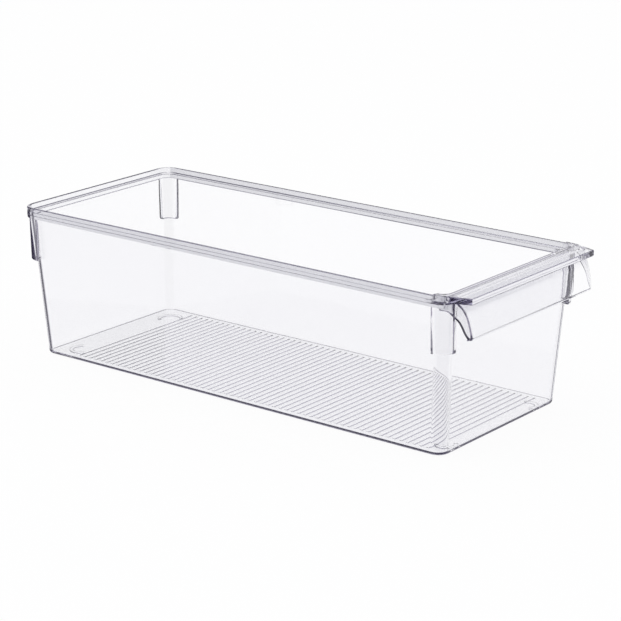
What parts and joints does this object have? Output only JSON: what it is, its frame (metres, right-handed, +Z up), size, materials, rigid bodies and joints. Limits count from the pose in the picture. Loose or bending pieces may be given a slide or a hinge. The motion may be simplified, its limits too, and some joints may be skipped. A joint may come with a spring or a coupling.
{
  "type": "fridge organiser bin",
  "caption": "Open-topped clear plastic bin with drafted walls, a ribbed floor on four curved feet, corner lugs, a double-lipped rim and a hooked pull handle at one short end.",
  "frame": {"origin": "middle of the bounding box, on the plane that the feet stand on", "axes": "+Z up out of the bin's mouth, +X along the bin towards the handle, +Y across it"},
  "size_m": [0.3622, 0.148, 0.1053],
  "materials": {
    "clear_plastic": "clear, glossy moulded plastic"
  },
  "bodies": {
    "root": {"floor": "clear_plastic", "foot_front_left": "clear_plastic", "foot_front_right": "clear_plastic", "foot_back_left": "clear_plastic", "foot_back_right": "clear_plastic", "wall_front": "clear_plastic", "wall_back": "clear_plastic", "wall_left": "clear_plastic", "wall_right": "clear_plastic", "post_front_left": "clear_plastic", "post_front_right": "clear_plastic", "post_back_left": "clear_plastic", "post_back_right": "clear_plastic", "rim_collar_back": "clear_plastic", "rim_collar_left": "clear_plastic", "rim_collar_right": "clear_plastic", "rim_crown_back": "clear_plastic", "rim_crown_left": "clear_plastic", "rim_crown_right": "clear_plastic", "handle_shelf": "clear_plastic", "handle_pull": "clear_plastic", "handle_cheek_left": "clear_plastic", "handle_cheek_right": "clear_plastic"}
  },
  "joints": []
}
